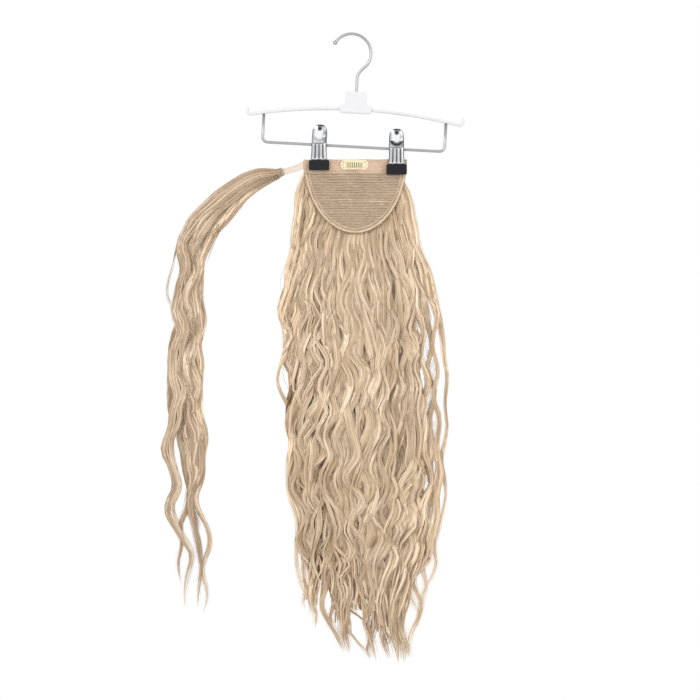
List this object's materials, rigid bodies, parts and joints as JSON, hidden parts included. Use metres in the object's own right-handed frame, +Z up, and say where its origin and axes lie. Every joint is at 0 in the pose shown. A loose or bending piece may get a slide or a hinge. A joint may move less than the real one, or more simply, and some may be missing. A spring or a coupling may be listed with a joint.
{
  "type": "ponytail hairpiece on a clip hanger",
  "caption": "Wrap-round wavy ponytail hairpiece with a ribbed net cap, a snap comb and a separate wrap strand, hung by its cap from a plain clip hanger.",
  "frame": {"origin": "top of the inside of the hanger's hook, where it rests on a rail", "axes": "+Z is up along the hanging hair, the inner side of the cap with the comb faces -Y, and the wrap strand hangs towards -X"},
  "size_m": [0.34, 0.0494, 0.7254],
  "materials": {
    "beige_satin": "satin",
    "beige_net": "matte",
    "beige_tape": "matte",
    "sheer_tape": "matte",
    "blond_hair": "satin",
    "cream_metal": "gloss",
    "satin_steel": "satin",
    "bright_steel": "polished",
    "white_paint": "satin",
    "black_rubber": "matte"
  },
  "bodies": {
    "hairpiece": {"hanger_hook": "satin_steel", "hanger_bar": "white_paint", "hanger_plate": "white_paint", "hanger_rail": "satin_steel", "clip_left_barrel": "satin_steel", "clip_left_front_jaw": "bright_steel", "clip_left_front_pad": "black_rubber", "clip_left_back_jaw": "bright_steel", "clip_left_back_pad": "black_rubber", "clip_right_barrel": "satin_steel", "clip_right_front_jaw": "bright_steel", "clip_right_front_pad": "black_rubber", "clip_right_back_jaw": "bright_steel", "clip_right_back_pad": "black_rubber", "top_band": "beige_satin", "net_panel": "beige_net", "edge_binding": "beige_tape", "comb_frame": "cream_metal", "wrap_strap": "sheer_tape", "wrap_cuff": "blond_hair", "wrap_strand": "blond_hair", "ponytail_fall": "blond_hair"},
    "comb": {"comb_teeth": "cream_metal"}
  },
  "joints": [
    {"name": "comb_snap", "type": "hinge", "parent": "hairpiece", "child": "comb", "pos_m": [0.0023, -0.0022, -0.144], "axis": [-1, 0, 0], "range_deg": [0, 40]}
  ]
}
